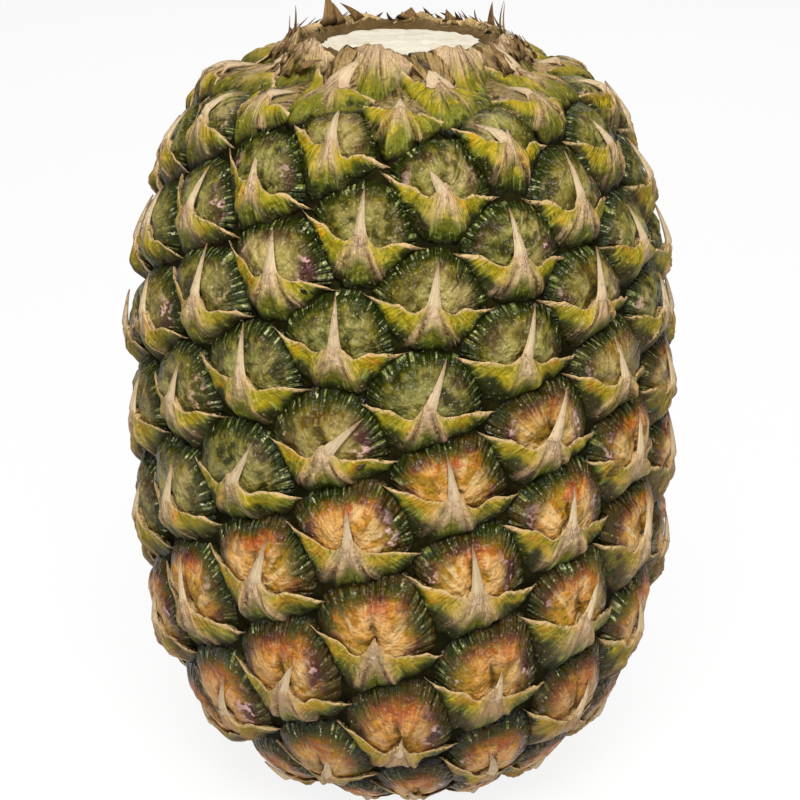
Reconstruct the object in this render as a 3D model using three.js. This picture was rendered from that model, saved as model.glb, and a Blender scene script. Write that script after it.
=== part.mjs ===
// A whole pineapple with its crown taken off, standing on its base. Millimetres, +Z up.
// The origin is the middle of the flat underside. Angle 0 faces -Y and angles grow towards +X.
//
// The skin is one closed net of rings, turned round the axis like a lathe profile and then moved
// out to the fruitlets. The net leans with their spirals, so each fruitlet has the same stations:
// six rings along it, and four lines of vertices across it.

import * as THREE from 'three';
import { mergeVertices } from 'three/addons/utils/BufferGeometryUtils.js';

// Body: two superellipse halves that meet at the girth, the widest level.
const GIRTH_RADIUS = 59.8;
const GIRTH_HEIGHT = 87;
const UPPER_REACH = 97.8;        // above the girth, where the upper half would close
const UPPER_FULLNESS = 2.55;
const LOWER_REACH = 90.4;        // below the girth, where the lower half would close
const LOWER_FULLNESS = 3.45;
const BODY_TOP = 159;            // the upper half turns into the shoulder here
const BODY_STEPS = 18;

// Shoulder and neck, as [radius, height].
const SHOULDER = [[39, 162.3], [28.2, 164.4]];
const NECK = [[24.8, 167.2], [22.2, 169.9]];

// Crown scar: a round cut face, sunk inside a ring of torn leaf bases.
const RIM_RADIUS = 19.6;
const RIM_HEIGHT = 170.6;
const RIM_EDGE_DROP = 0.6;
const STUB_HEIGHT = 5.5;
const STUB_POINTEDNESS = 3;
const STUB_PHASE = [2.4, 0.5];   // radians a line, of the stubs and of their uneven spacing
const STUB_WANDER = 0.6;
const SCAR_RADIUS = 16.4;
const SCAR_HEIGHT = 168.4;

// Underside: a flat face, with a groove round the cut stalk.
const STALK_RADIUS = 13.5;
const GROOVE_WIDTH = 2;
const GROOVE_DEPTH = 1.2;
const GROOVE_SLOPE = 0.4;
const FOOT_RADIUS = 19.6;

// Fruitlets stand eight to a row, halfway between those of the rows above and below.
const PER_ROW = 8;
const FIRST_ROW = -8;
const LAST_ROW = 10;
const TALLEST_ROW = -5;          // below it the rows close up towards the stalk
const SLIPPED_SPIRAL = 2;        // one spiral grew a little ahead of the others
const SLIP = 0.39;
const SLIP_FADE = [2.5, 5.5];    // lines from its middle where the slip starts and ends to fade
const ROW_ZERO_ARC = 104.7;      // along the meridian from the edge of the foot
const ROW_ARC = [9.884, -0.3156, 0.02361];
const BASE_ROW_ARC = [14.5, -1];
const ROW_TURN = [0.1758, 0.3497, -0.001, -0.000148];

// The net: rings in one row, and lines of vertices between the fruitlets of two rows.
const RINGS = 3;
const LINES = 4;
const AROUND = 2 * PER_ROW * LINES;
const LOWEST_RING = RINGS * (FIRST_ROW - 1) + 1;
const HIGHEST_RING = RINGS * LAST_ROW + 2;

// Stations of a fruitlet, ring by ring from the crest up: [line across, ring along, millimetres out
// from the body's curve]. Rings 1 and 2 are the eye, 3 the groove, and 4 and 5 the lower bract.
const STATIONS = {
  middle: [[0, 0, 1.9], [0, 0.42, -1.6], [0, 1.8, 0.3], [0, 3, -4.1], [0, -1.9, -1.2], [0, -0.6, 1.5]],
  flank: [[0.4, 0.05, 1.4], [0.7, 0.75, -1.5], [1.05, 1.95, -0.7], [1, 3, -4.1], [1, -1.6, -1.6], [0.45, -0.7, 1]],
  edge: [[2, 0.8, -1.3], [2, 1.5, -4.1], [2, 2.2, -4.1]],
};
const FULL_CELL = 23.5;          // cell width at which the relief is full
const LEAST_RELIEF = 0.5;

// The spine: the crest's own vertex, drawn up and away from the skin.
const SPINE_LENGTH = 12.5;
const SPINE_RISE = 3.4;
const SPINE_SWAY = 2.2;
const SWAY_PHASE = [7.3, 4.1];   // radians a row and a line, so that the spines lean unevenly

function bodyRadius(height) {
  const above = height - GIRTH_HEIGHT;
  const share = above > 0
    ? (above / UPPER_REACH) ** UPPER_FULLNESS
    : (-above / LOWER_REACH) ** LOWER_FULLNESS;
  return GIRTH_RADIUS * Math.sqrt(1 - share);
}

function meridianPoints() {
  const points = [];
  for (let step = 0; step <= BODY_STEPS; step += 1) {
    const height = (BODY_TOP * (1 - Math.cos((Math.PI * step) / BODY_STEPS))) / 2;
    points.push(new THREE.Vector2(bodyRadius(height), height));
  }
  for (const [radius, height] of [...SHOULDER, ...NECK]) {
    points.push(new THREE.Vector2(radius, height));
  }
  return points;
}

const meridian = new THREE.SplineCurve(meridianPoints());
const meridianLength = meridian.getLength();

function aroundAxis(angle, radius, height) {
  return new THREE.Vector3(radius * Math.sin(angle), -radius * Math.cos(angle), height);
}

// A point at an angle, an arc length along the meridian and a height off the skin.
function onSkin(angle, arc, height) {
  const share = THREE.MathUtils.clamp(arc / meridianLength, 0, 1);
  const point = meridian.getPointAt(share);
  const along = meridian.getTangentAt(share);
  return aroundAxis(angle, point.x + along.y * height, point.y - along.x * height);
}

function rowArc(row) {
  const [slope, bend, twist] = ROW_ARC;
  const kept = Math.max(row, TALLEST_ROW);
  const below = kept - row;
  const arc = ROW_ZERO_ARC + slope * kept + bend * kept ** 2 + twist * kept ** 3;
  return arc - BASE_ROW_ARC[0] * below - BASE_ROW_ARC[1] * below ** 2;
}

function rowTurn(row) {
  const [start, slope, bend, twist] = ROW_TURN;
  return start + slope * row + bend * row ** 2 + twist * row ** 3;
}

// How far the slipped spiral carries the net along at a line, which fades into its neighbours.
function slipAt(line, row) {
  const across = THREE.MathUtils.euclideanModulo(line - LINES * row + 2 * LINES * SLIPPED_SPIRAL, AROUND);
  const distance = Math.min(across, AROUND - across);
  return SLIP * (1 - THREE.MathUtils.smoothstep(distance, ...SLIP_FADE));
}

// Where a vertex of the net belongs: its fruitlet's row and middle line, and its place in it.
function stationOf(line, ring) {
  const across = THREE.MathUtils.euclideanModulo(line, 2 * LINES);
  const odd = across > LINES / 2 && across < 1.5 * LINES;
  const along = THREE.MathUtils.euclideanModulo(ring - (odd ? RINGS : 0), 2 * RINGS);
  const offset = across - (odd ? LINES : 2 * LINES * Math.round(across / (2 * LINES)));
  const row = (ring - (along > RINGS ? along - 2 * RINGS : along)) / RINGS;
  return { along, offset, row, middle: line - offset };
}

// The station's own line and ring, and its height, before the net leans.
function placeOf(line, ring) {
  const { along, offset, row, middle } = stationOf(line, ring);
  const distance = Math.abs(offset);
  if (distance === LINES / 2) {
    const [, rings, height] = STATIONS.edge[THREE.MathUtils.euclideanModulo(ring, RINGS)];
    return { line, ring: RINGS * Math.floor(ring / RINGS) + rings, height };
  }
  const [across, rings, height] = (distance === 0 ? STATIONS.middle : STATIONS.flank)[along];
  return {
    line: middle + Math.sign(offset) * across,
    ring: RINGS * row + rings,
    height,
    isTip: distance === 0 && along === 0 && row >= FIRST_ROW,
    sway: Math.sin(SWAY_PHASE[0] * row + SWAY_PHASE[1] * middle),
  };
}

function skinVertex(line, ring) {
  const place = placeOf(line, ring);
  const row = place.ring / RINGS;
  const grown = row + slipAt(place.line, row);
  let angle = (place.line * 2 * Math.PI) / AROUND + rowTurn(grown) - (row * Math.PI) / PER_ROW;
  let arc = rowArc(grown);
  let { height } = place;
  const width = (Math.PI / PER_ROW) * meridian.getPointAt(Math.min(arc / meridianLength, 1)).x;
  const size = THREE.MathUtils.clamp(width / FULL_CELL, LEAST_RELIEF, 1);
  if (place.isTip) {
    angle += (SPINE_SWAY * place.sway * (Math.PI / PER_ROW)) / width;
    arc += Math.min(SPINE_LENGTH * size, meridianLength - arc);
    height = SPINE_RISE;
  }
  return onSkin(angle, arc, height * size);
}

// A plain ring round the axis, turned as far as the net is at the row it joins.
function ringVertex(line, { radius, height, row }) {
  const angle = (line * 2 * Math.PI) / AROUND + rowTurn(row) - (row * Math.PI) / PER_ROW;
  return aroundAxis(angle, radius, height);
}

// Torn leaf bases of uneven height round the scar.
function stubHeight(line) {
  const phase = STUB_PHASE[0] * line + STUB_WANDER * Math.sin(STUB_PHASE[1] * line);
  return STUB_HEIGHT * Math.max(0, Math.sin(phase)) ** STUB_POINTEDNESS;
}

function levels() {
  const foot = LOWEST_RING / RINGS;
  const top = HIGHEST_RING / RINGS;
  const grooveEnd = STALK_RADIUS + GROOVE_WIDTH;
  const list = [
    { radius: 0, height: 0, row: foot },
    { radius: STALK_RADIUS, height: 0, row: foot },
    { radius: STALK_RADIUS + GROOVE_SLOPE, height: GROOVE_DEPTH, row: foot },
    { radius: grooveEnd - GROOVE_SLOPE, height: GROOVE_DEPTH, row: foot },
    { radius: grooveEnd, height: 0, row: foot },
    { radius: FOOT_RADIUS, height: 0, row: foot },
  ];
  for (let ring = LOWEST_RING; ring <= HIGHEST_RING; ring += 1) {
    list.push({ ring });
  }
  list.push(
    { radius: RIM_RADIUS, height: RIM_HEIGHT, row: top, torn: true },
    { radius: (RIM_RADIUS + SCAR_RADIUS) / 2, height: RIM_HEIGHT - RIM_EDGE_DROP, row: top },
    { radius: SCAR_RADIUS, height: SCAR_HEIGHT, row: top },
    { radius: 0, height: SCAR_HEIGHT, row: top },
  );
  return list;
}

function vertexAt(line, level) {
  if (level.ring !== undefined) {
    return skinVertex(line, level.ring);
  }
  const height = level.height + (level.torn ? stubHeight(line) : 0);
  return ringVertex(line, { ...level, height });
}

function fruitGeometry() {
  const rings = levels();
  const profile = rings.map((_, index) => new THREE.Vector2(index, index));
  const geometry = new THREE.LatheGeometry(profile, AROUND);
  const positions = geometry.attributes.position;
  for (let index = 0; index < positions.count; index += 1) {
    const line = Math.floor(index / rings.length) % AROUND;
    const vertex = vertexAt(line, rings[index % rings.length]);
    positions.setXYZ(index, vertex.x, vertex.y, vertex.z);
  }
  geometry.deleteAttribute('normal');
  geometry.deleteAttribute('uv');
  const welded = mergeVertices(geometry, 1e-4);
  welded.computeVertexNormals();
  return welded;
}

const rind = new THREE.MeshStandardMaterial({ color: 0x8a8a2e, roughness: 0.55, metalness: 0 });
const fruit = new THREE.Mesh(fruitGeometry(), rind);
fruit.name = 'fruit';

const pineapple = new THREE.Group();
pineapple.add(fruit);

export default pineapple;
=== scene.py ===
"""A whole pineapple with its crown taken off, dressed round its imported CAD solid."""

import math

import bpy
import numpy as np
from mathutils import Matrix


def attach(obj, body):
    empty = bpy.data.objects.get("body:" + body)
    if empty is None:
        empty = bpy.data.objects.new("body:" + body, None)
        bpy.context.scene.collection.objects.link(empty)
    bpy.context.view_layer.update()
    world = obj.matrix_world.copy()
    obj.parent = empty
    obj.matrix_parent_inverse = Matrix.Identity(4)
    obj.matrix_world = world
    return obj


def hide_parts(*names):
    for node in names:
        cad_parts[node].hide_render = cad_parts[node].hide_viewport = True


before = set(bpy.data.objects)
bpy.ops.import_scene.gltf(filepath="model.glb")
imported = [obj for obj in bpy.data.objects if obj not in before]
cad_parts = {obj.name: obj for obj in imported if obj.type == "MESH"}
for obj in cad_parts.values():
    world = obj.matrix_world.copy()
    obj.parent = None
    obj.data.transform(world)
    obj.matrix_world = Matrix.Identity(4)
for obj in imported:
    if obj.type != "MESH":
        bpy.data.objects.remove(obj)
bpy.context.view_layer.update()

bl_info = {
    "name": "Pineapple Without Its Crown",
    "version": (1, 0, 0),
    "blender": (4, 5, 0),
    "location": "View3D > Sidebar > Pineapple",
    "description": "Eyes, bracts, spines, neck and scars of one pineapple, and a plain stage",
    "category": "Object",
}

# Shapes are worked out in millimetres, as the solid is, and stored in metres.
MM = 0.001

# Body: two superellipse halves that meet at the girth, then the shoulder and the neck.
GIRTH_RADIUS = 59.8
GIRTH_HEIGHT = 87.0
UPPER_REACH, UPPER_FULLNESS = 97.8, 2.55
LOWER_REACH, LOWER_FULLNESS = 90.4, 3.45
BODY_TOP = 159.0
BODY_STEPS = 18
SHOULDER_AND_NECK = ((39.0, 162.3), (28.2, 164.4), (24.8, 167.2), (22.2, 169.9))

# Crown scar and stalk end.
RIM_HEIGHT = 170.6
SCAR_RADIUS, SCAR_HEIGHT = 16.4, 168.4
STALK_RADIUS = 13.5

# Fruitlets: eight to a row, each row turned against the one below it.
PER_ROW = 8
FIRST_ROW, LAST_ROW = -8, 10
TALLEST_ROW = -5
SLIPPED_SPIRAL, SLIP = 2, 0.39
ROW_ZERO_ARC = 104.7
ROW_ARC = (9.884, -0.3156, 0.02361)
BASE_ROW_ARC = (14.5, -1.0)
ROW_TURN = (0.1758, 0.3497, -0.001, -0.000148)

# One full-sized cell. Smaller cells near the ends shrink with the width that is left for them.
# Cells lie a little above their spines, reach past halfway to their neighbours, and have corners
# rounded by a softness.
CELL_WIDTH, CELL_LENGTH = 23.5, 20.0
LEAST_SIZE = 0.5
CELL_LIFT = 1.0
CELL_OVERLAP = 1.09
CORNER_SOFTNESS = 1.0
FAR = 99.0  # farther off than any cell reaches

# Where a cell ends to each side: steps outwards from a start, until its two sides all but meet.
TIP_START, TIP_STEPS, TIP_GAP = 6.0, 120, 0.3

# Ragged upper ends of the scales round the scar: how far they reach past the neck all round and
# once more at -Y, and the depth of the tears and their width in radians.
TORN_PAST, TORN_FRONT = 0.4, 2.2
TORN_DEPTH, TORN_WIDTH = 1.2, 0.16

# Ripeness falls with height over a band below this level, which lies higher by these amounts on
# the side that faces -Y and on the side that faces +X, and wanders from fruitlet to fruitlet.
RIPE_LEVEL, RIPE_BAND = 86.0, 26.0
RIPE_FRONT, RIPE_RIGHT, RIPE_WANDER = 22.0, 20.0, 0.3

# Eye: its middle, how far its oval reaches above and below it, how far it is drawn past its
# outline, and the powers that shape the oval and blend it into the cell's outline.
EYE_MIDDLE, EYE_UP, EYE_DOWN = 2.5, 12.4, 8.5
EYE_OVERLAP = 1.16
OVAL_POWER, OUTLINE_POWER = 2.5, 7
DOME_POWER = 3.6  # the higher it is, the flatter the dome and the steeper its rim
TALLEST_FORM = 1.5  # no form stands higher than this over the dome's middle

# Forms on an eye: the middle and the spread of a bell curve across the cell, then along it, and
# how high or deep each is. Riper eyes have them stronger, by up to this share.
LOBES = (4.0, 2.8, 4.0, 3.6)
CREASE = (0.0, 0.55, 3.2, 2.6)
PIT = (0.0, 1.6, 0.8, 0.9)
BLUSH = (0.0, 5.5, 8.0, 3.0)
LOBE_RISE, CREASE_DEPTH, PIT_DEPTH, FORK_DEPTH = 0.45, 0.35, 0.3, 0.35
WRINKLE_PITCH, WRINKLE_RISE = 3.4, 0.60
RIPE_SWELLING = 0.9

# Bract: how far its edge stands out at the spine, and how much farther in the topmost row, how much
# lower its wings end, how deep its front and its back go in, and the powers of the front's fall in
# its middle and on its flanks.
EDGE_HEIGHT, TOP_EDGE_RAISED, WING_DROP = 1.1, 0.9, 3.6
FRONT_DEPTH, BACK_DEPTH = 4.7, 5.3
MIDDLE_FALL, FLANK_FALL = 2.4, 1.5
PAPER_END = 0.5  # from where the papery edge starts to fade to where it is gone

# Forms on a bract: the middle and the spread of a bell curve away from the crack's nearer leg, then
# down from the edge, and how high or deep each is.
CRACK = (0.0, 0.75, 4.8, 2.8)
WELT = (1.2, 0.9, 4.4, 3.4)
HOLLOW = (4.2, 2.0, 3.6, 2.6)
CRACK_DEPTH, WELT_RISE, HOLLOW_DEPTH = 0.8, 0.85, 0.6
BULGE, RIDGE_RISE, RIB_RISE, LUMP_RISE = 0.6, 0.45, 0.5, 0.45
RAGGED_PITCH, RAGGED_DEPTH = 2.2, 0.45

# Ring of torn leaf bases round the scar, as its section's radius and height.
RING_SECTION = (
    (22.2, 168.0), (21.3, 169.1), (20.2, 169.7), (19.1, 169.9),
    (18.2, 169.5), (17.4, 168.9), (16.9, 168.4), (16.4, 167.6),
)
RING_CREST = 19.4

# Stage, in metres.
FLOOR_HALF = 6.0
CAMERA_SHIFT = (-0.001875, 0.005)  # shares of the view's width
BACK_LIGHT_SHARE = 20  # of one side light's power
WORLD_LIGHT, WORLD_SEEN = 0.06, 0.9

SEED = 11
DRAWS = 16  # random shares that each fruitlet has
NOISE_PERIOD = 32  # wavelengths after which the noise repeats

# Spines that grew askew, as degrees to the right for a row and a spiral, and broken ones, as the
# share of their length that is left.
LEANS = {
    (9, 5): 25, (9, 4): 0, (8, 4): -5, (8, 3): -44, (7, 4): -18, (7, 3): -26, (7, 2): -12,
    (6, 4): 5, (6, 3): 0, (6, 2): 0, (5, 3): -6, (5, 2): -3, (5, 1): -9, (4, 3): 0, (4, 2): 8,
    (4, 1): 5, (3, 2): -2, (3, 1): 18, (3, 0): 0, (2, 2): -5, (2, 1): 21, (2, 0): -8,
    (1, 2): 14, (1, 1): 44, (1, 0): 22, (0, 1): 26, (0, 0): -7, (-1, 0): -5, (-1, 7): 9,
    (-2, 0): 14, (-2, 7): -5, (-3, 6): 28, (-4, 6): 14,
}
BROKEN = {
    (9, 5): 0.6, (9, 4): 0.45, (7, 4): 0.55, (7, 3): 0.65,
    (-3, 7): 0.35, (-4, 6): 0.6, (-5, 6): 0.5,
}
# Torn stubs round the crown scar: place round the axis in degrees, start below the ring, length,
# width, lean and curl in degrees, and rise off the neck.
TORN_STUBS = (
    (228, 1.0, 5.8, 4.8, 4, 10, 4.8),
    (219, 1.5, 4.2, 3.4, 20, 10, 3.2),
    (205, 1.0, 4.8, 2.4, 35, 60, 3.8),
    (116, 1.5, 4.8, 4.2, -2, 0, 4.0),
    (99, 1.0, 6.0, 0.6, -8, -30, 5.2),
    (95, 2.0, 6.0, 0.7, 6, 45, 5.2),
    (262, 4.5, 7.5, 3.0, 2, 14, 5.0),
    (272, 6.0, 7.0, 2.6, 8, -20, 4.6),
    (150, 1.0, 2.4, 4.0, 20, 20, 1.6),
    (176, 1.0, 2.2, 5.0, -30, 20, 1.6),
)


def linear(hex_colour):
    """An sRGB hex colour as linear RGBA, by the sRGB curve."""
    srgb = np.array([int(hex_colour[i : i + 2], 16) for i in (1, 3, 5)]) / 255
    rgb = np.where(srgb <= 0.04045, srgb / 12.92, ((srgb + 0.055) / 1.055) ** 2.4)
    return (*rgb.tolist(), 1.0)


def colour_property(name, description, hex_colour):
    """A colour that a user can change."""
    return bpy.props.FloatVectorProperty(
        name=name,
        description=description,
        subtype="COLOR",
        size=4,
        min=0.0,
        max=1.0,
        default=linear(hex_colour),
    )


def length_property(name, description, millimetres):
    """A length that a user can change."""
    return bpy.props.FloatProperty(
        name=name,
        description=description,
        default=millimetres * MM,
        min=0.0,
        unit="LENGTH",
        precision=4,
    )


class PineappleSizes(bpy.types.PropertyGroup):
    """Sizes of the fruitlets' parts."""

    eye_half_width: length_property("Eye half width", "Half the most width of an eye", 14.0)
    eye_rise: length_property("Eye rise", "From the groove out to the eye's middle", 4.6)
    wing_reach: length_property("Wing reach", "The most from a spine to a wing's tip", 16.0)
    bract_thickness: length_property("Bract thickness", "Thickness of the papery edge", 0.42)
    groove_depth: length_property("Groove depth", "From the body's curve down to the groove", 3.1)
    spine_length: length_property("Spine length", "From the bract's edge to the spine's tip", 9.4)
    spine_width: length_property("Spine width", "Width where the spine leaves the bract", 3.1)


class PineappleColours(bpy.types.PropertyGroup):
    """Colours of the rind, the dry parts and the cut faces."""

    eye_green: colour_property("Eye green", "Unripe eye", "#41430b")
    eye_olive: colour_property("Eye olive", "Pale mottling of an unripe eye", "#746b22")
    eye_gold: colour_property("Eye gold", "Ripe eye", "#bd7f18")
    eye_tan: colour_property("Eye tan", "Pale mottling of a ripe eye", "#cc9850")
    rim_green: colour_property("Rim green", "Edge of an eye", "#222b06")
    bract_yellow: colour_property("Bract yellow", "Upper part of a bract", "#ab9616")
    bract_green: colour_property("Bract green", "Lower part of a bract", "#454e07")
    bract_tan: colour_property("Bract tan", "Corked patch below a spine", "#cdad88")
    spine_cream: colour_property("Spine cream", "Dry spine", "#dac39c")
    dry_brown: colour_property("Dry brown", "Torn leaf base", "#856540")
    scar_cream: colour_property("Scar cream", "Cut face under the crown", "#e0d7c3")


class PineappleStage(bpy.types.PropertyGroup):
    """Camera and lights."""

    camera_distance: bpy.props.FloatProperty(
        name="Camera distance",
        description="From the camera to the middle of the girth",
        default=0.5062,
        unit="LENGTH",
    )
    camera_elevation: bpy.props.FloatProperty(
        name="Camera elevation",
        description="Height of the camera above the girth, as an angle",
        default=0.3534,
        subtype="ANGLE",
    )
    lens: bpy.props.FloatProperty(
        name="Lens",
        description="Focal length",
        default=101.4,
        min=10.0,
        unit="CAMERA",
    )
    key_power: bpy.props.FloatProperty(
        name="Key power",
        description="Power of the main soft light",
        default=18.4,
        unit="POWER",
    )
    fill_power: bpy.props.FloatProperty(
        name="Fill power",
        description="Power of each side light",
        default=0.15,
        unit="POWER",
    )


# ---------------------------------------------------------------- body and lattice


def body_radius(height):
    """Radius of the body at a height: girth radius times the root of one minus a power of the
    share of the way to where that half would close."""
    above = np.asarray(height) - GIRTH_HEIGHT
    upper = np.abs(above / UPPER_REACH) ** UPPER_FULLNESS
    lower = np.abs(above / LOWER_REACH) ** LOWER_FULLNESS
    return GIRTH_RADIUS * np.sqrt(np.clip(1 - np.where(above > 0, upper, lower), 0, 1))


def through(points, per_step=24):
    """A Catmull-Rom curve through points: the cubic whose slope at each point is half the step
    from the point before to the point after."""
    padded = np.vstack([points[:1], points, points[-1:]])
    before, start, end, after = padded[:-3], padded[1:-2], padded[2:-1], padded[3:]
    share = np.linspace(0, 1, per_step, endpoint=False)[None, :, None]
    slope0, slope1 = ((end - before) / 2)[:, None], ((after - start) / 2)[:, None]
    start, end = start[:, None], end[:, None]
    curve = (
        (2 * start - 2 * end + slope0 + slope1) * share**3
        + (3 * end - 3 * start - 2 * slope0 - slope1) * share**2
        + slope0 * share
        + start
    )
    return np.vstack([curve.reshape(-1, 2), points[-1:]])


def meridian():
    """The body's outline from the edge of the foot to the top of the neck, as arc length, radius,
    height and the two parts of its direction."""
    height = BODY_TOP * (1 - np.cos(np.linspace(0, np.pi, BODY_STEPS + 1))) / 2
    body = np.column_stack([body_radius(height), height])
    curve = through(np.vstack([body, SHOULDER_AND_NECK]))
    steps = np.diff(curve, axis=0)
    arc = np.concatenate([[0], np.cumsum(np.hypot(*steps.T))])
    along = np.gradient(curve, arc, axis=0)
    along /= np.linalg.norm(along, axis=1, keepdims=True)
    return arc, curve[:, 0], curve[:, 1], along[:, 0], along[:, 1]


ARC, RADIUS, LEVEL, OUTWARD, UPWARD = meridian()


def on_skin(angle, arc, height):
    """Points off the body: the meridian's point at that arc length, moved out along its normal by
    height, and turned to the angle. Past its ends the meridian runs straight on."""
    kept = np.clip(arc, 0, ARC[-1])
    past = arc - kept
    outward, upward = np.interp(kept, ARC, OUTWARD), np.interp(kept, ARC, UPWARD)
    radius = np.interp(kept, ARC, RADIUS) + upward * height + outward * past
    level = np.interp(kept, ARC, LEVEL) - outward * height + upward * past
    return around_axis(angle, radius, level)


def around_axis(angle, radius, level):
    """Points at an angle round the axis, which is 0 at -Y and grows towards +X. None sinks below
    the surface that the fruit stands on."""
    angle, radius, level = np.broadcast_arrays(angle, radius, level)
    level = np.maximum(level, 0)
    return np.stack([radius * np.sin(angle), -radius * np.cos(angle), level], axis=-1)


def full_turn(steps):
    """Angles of even steps once round, as one row."""
    return np.linspace(0, 2 * np.pi, steps, endpoint=False)[None, :]


def row_arc(row):
    """Arc length of a row: a cubic in its number, and wider and wider steps below the tallest."""
    kept = np.maximum(row, TALLEST_ROW)
    below = kept - row
    arc = ROW_ZERO_ARC + sum(part * kept ** (power + 1) for power, part in enumerate(ROW_ARC))
    return arc - BASE_ROW_ARC[0] * below - BASE_ROW_ARC[1] * below**2


def row_turn(row):
    """Angle of a row's first fruitlet: a cubic in the row's number."""
    return sum(part * row**power for power, part in enumerate(ROW_TURN))


def per(values):
    """One value for each patch, shaped to spread over the patch's two parameters."""
    return np.asarray(values, float)[:, None, None]


class Fruitlets:
    """Places, sizes and growth of the fruitlets, as arrays with one entry for each. Each fruitlet
    has random shares of its own, and its eye, bract and spine take their differences from them."""

    def __init__(self, first, last):
        every_row = np.arange(first, last + 1)
        rows, spirals = np.meshgrid(every_row, np.arange(PER_ROW), indexing="ij")
        self.row, self.spiral = rows.ravel(), spirals.ravel()
        step = self.row + SLIP * (self.spiral == SLIPPED_SPIRAL)
        self.angle = row_turn(step) - self.spiral * 2 * np.pi / PER_ROW
        self.arc = row_arc(step)
        self.length = row_arc(step + 1) - row_arc(step - 1)
        self.width = np.interp(self.arc, ARC, RADIUS) * np.pi / PER_ROW
        self.size = np.clip(self.width / CELL_WIDTH, LEAST_SIZE, 1)
        rows_in_all = LAST_ROW + 1 - FIRST_ROW + 1  # with the one on the neck that has no eyes
        draws = np.random.default_rng(SEED).random((rows_in_all, PER_ROW, DRAWS))
        self.draw = draws[self.row - FIRST_ROW, self.spiral]
        self.ripeness = self.ripen()

    def ripen(self):
        """From 0, green, to 1, ripe: a smooth step down with height, whose level lies higher on the
        side that faces -Y, more so towards +X."""
        height = np.interp(self.arc, ARC, LEVEL)
        ahead = RIPE_FRONT * np.maximum(np.cos(self.angle), 0) + RIPE_RIGHT * np.sin(self.angle)
        share = ramp(RIPE_LEVEL + ahead - height, 0, RIPE_BAND)
        return np.clip(share + RIPE_WANDER * (self.draw[:, 15] - 0.5), 0, 1)

    def neighbours(self):
        """Offsets from each fruitlet to the ones round it, in a full cell's millimetres."""
        rows = self.row[:, None] + np.array([1, -1, 1, -1, 2, -2, 3, -3])
        spirals = self.spiral[:, None] + np.array([0, 0, 1, -1, 1, -1, 1, -1])
        step = rows + SLIP * (spirals % PER_ROW == SLIPPED_SPIRAL)
        angle = row_turn(step) - spirals * 2 * np.pi / PER_ROW
        across = (angle - self.angle[:, None]) * PER_ROW / np.pi * CELL_WIDTH
        along = (row_arc(step) - self.arc[:, None]) * CELL_LENGTH / self.length[:, None]
        return across, along

    def sides(self, across):
        """Lower and upper side of each cell at points across it. A cell ends halfway to each of its
        neighbours, and its corners are rounded by a soft maximum."""
        beside, beyond = (part[:, :, None] for part in self.neighbours())
        half = CELL_OVERLAP * (beside**2 + beyond**2) / 2
        line = (half - beside * across[:, None, :]) / beyond
        below = np.where(beyond < 0, line, -FAR) / CORNER_SOFTNESS
        above = np.where(beyond > 0, -line, -FAR) / CORNER_SOFTNESS
        low = CORNER_SOFTNESS * np.log(np.exp(below).sum(axis=1))
        high = -CORNER_SOFTNESS * np.log(np.exp(above).sum(axis=1))
        return CELL_LIFT + low, CELL_LIFT + high

    def tips(self, farthest):
        """Where each cell ends on its left and its right, as places across and along it: the last
        step outwards at which its upper side is still above its lower one."""
        places = []
        each = np.arange(len(self.row))
        for side in (-1, 1):
            steps = side * np.linspace(TIP_START, farthest, TIP_STEPS)
            across = np.broadcast_to(steps, (len(each), TIP_STEPS))
            low, high = self.sides(across)
            apart = high > low + TIP_GAP
            last = np.maximum(np.argmin(apart, axis=1) - 1, 0)
            last = np.where(apart.all(axis=1), TIP_STEPS - 1, last)
            places.append((across[each, last], (low[each, last] + high[each, last]) / 2))
        return places

    def reach(self, middle, turn, oval):
        """Distance from a middle to the cell's outline at each angle, held in by an oval: the
        largest of the inverse distances to every side and to the oval, as a high power blends
        them."""
        beside, beyond = (part[:, :, None] for part in self.neighbours())
        half = CELL_OVERLAP * (beside**2 + beyond**2) / 2 - beyond * (middle - CELL_LIFT)
        toward = (beside * np.cos(turn) + beyond * np.sin(turn)) / np.maximum(half, 1.0)
        wide, up, down = oval
        tall = np.where(np.sin(turn) > 0, up, down)
        held = np.abs(np.cos(turn) / wide) ** OVAL_POWER + np.abs(np.sin(turn) / tall) ** OVAL_POWER
        total = (np.maximum(toward, 0) ** OUTLINE_POWER).sum(axis=1)
        total = total + held ** (OUTLINE_POWER / OVAL_POWER)
        return EYE_OVERLAP * total ** (-1 / OUTLINE_POWER)

    def at(self, across, along, out):
        """Points of patches given in a full cell's millimetres. Near the scar they stop at a ragged
        edge, by a soft minimum."""
        angle = per(self.angle) + across / CELL_WIDTH * np.pi / PER_ROW
        arc = per(self.arc) + along * per(self.length / CELL_LENGTH)
        tears = rough(layers(angle, 0 * angle, 0 * angle), TORN_WIDTH, 2, seed=51)
        torn = ARC[-1] + TORN_PAST + TORN_FRONT * np.maximum(np.cos(angle), 0)
        torn = torn + TORN_DEPTH * tears
        arc = torn - np.logaddexp(0, torn - arc)
        return on_skin(angle, arc, out * per(self.size))

    def growth(self, shape):
        """Ripeness, a random share and the height share of each point."""
        height = np.interp(self.arc, ARC, LEVEL) / RIM_HEIGHT
        parts = np.stack([self.ripeness, self.draw[:, 14], height], axis=-1)
        return np.broadcast_to(parts[:, None, None, :], (*shape, 3))


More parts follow.
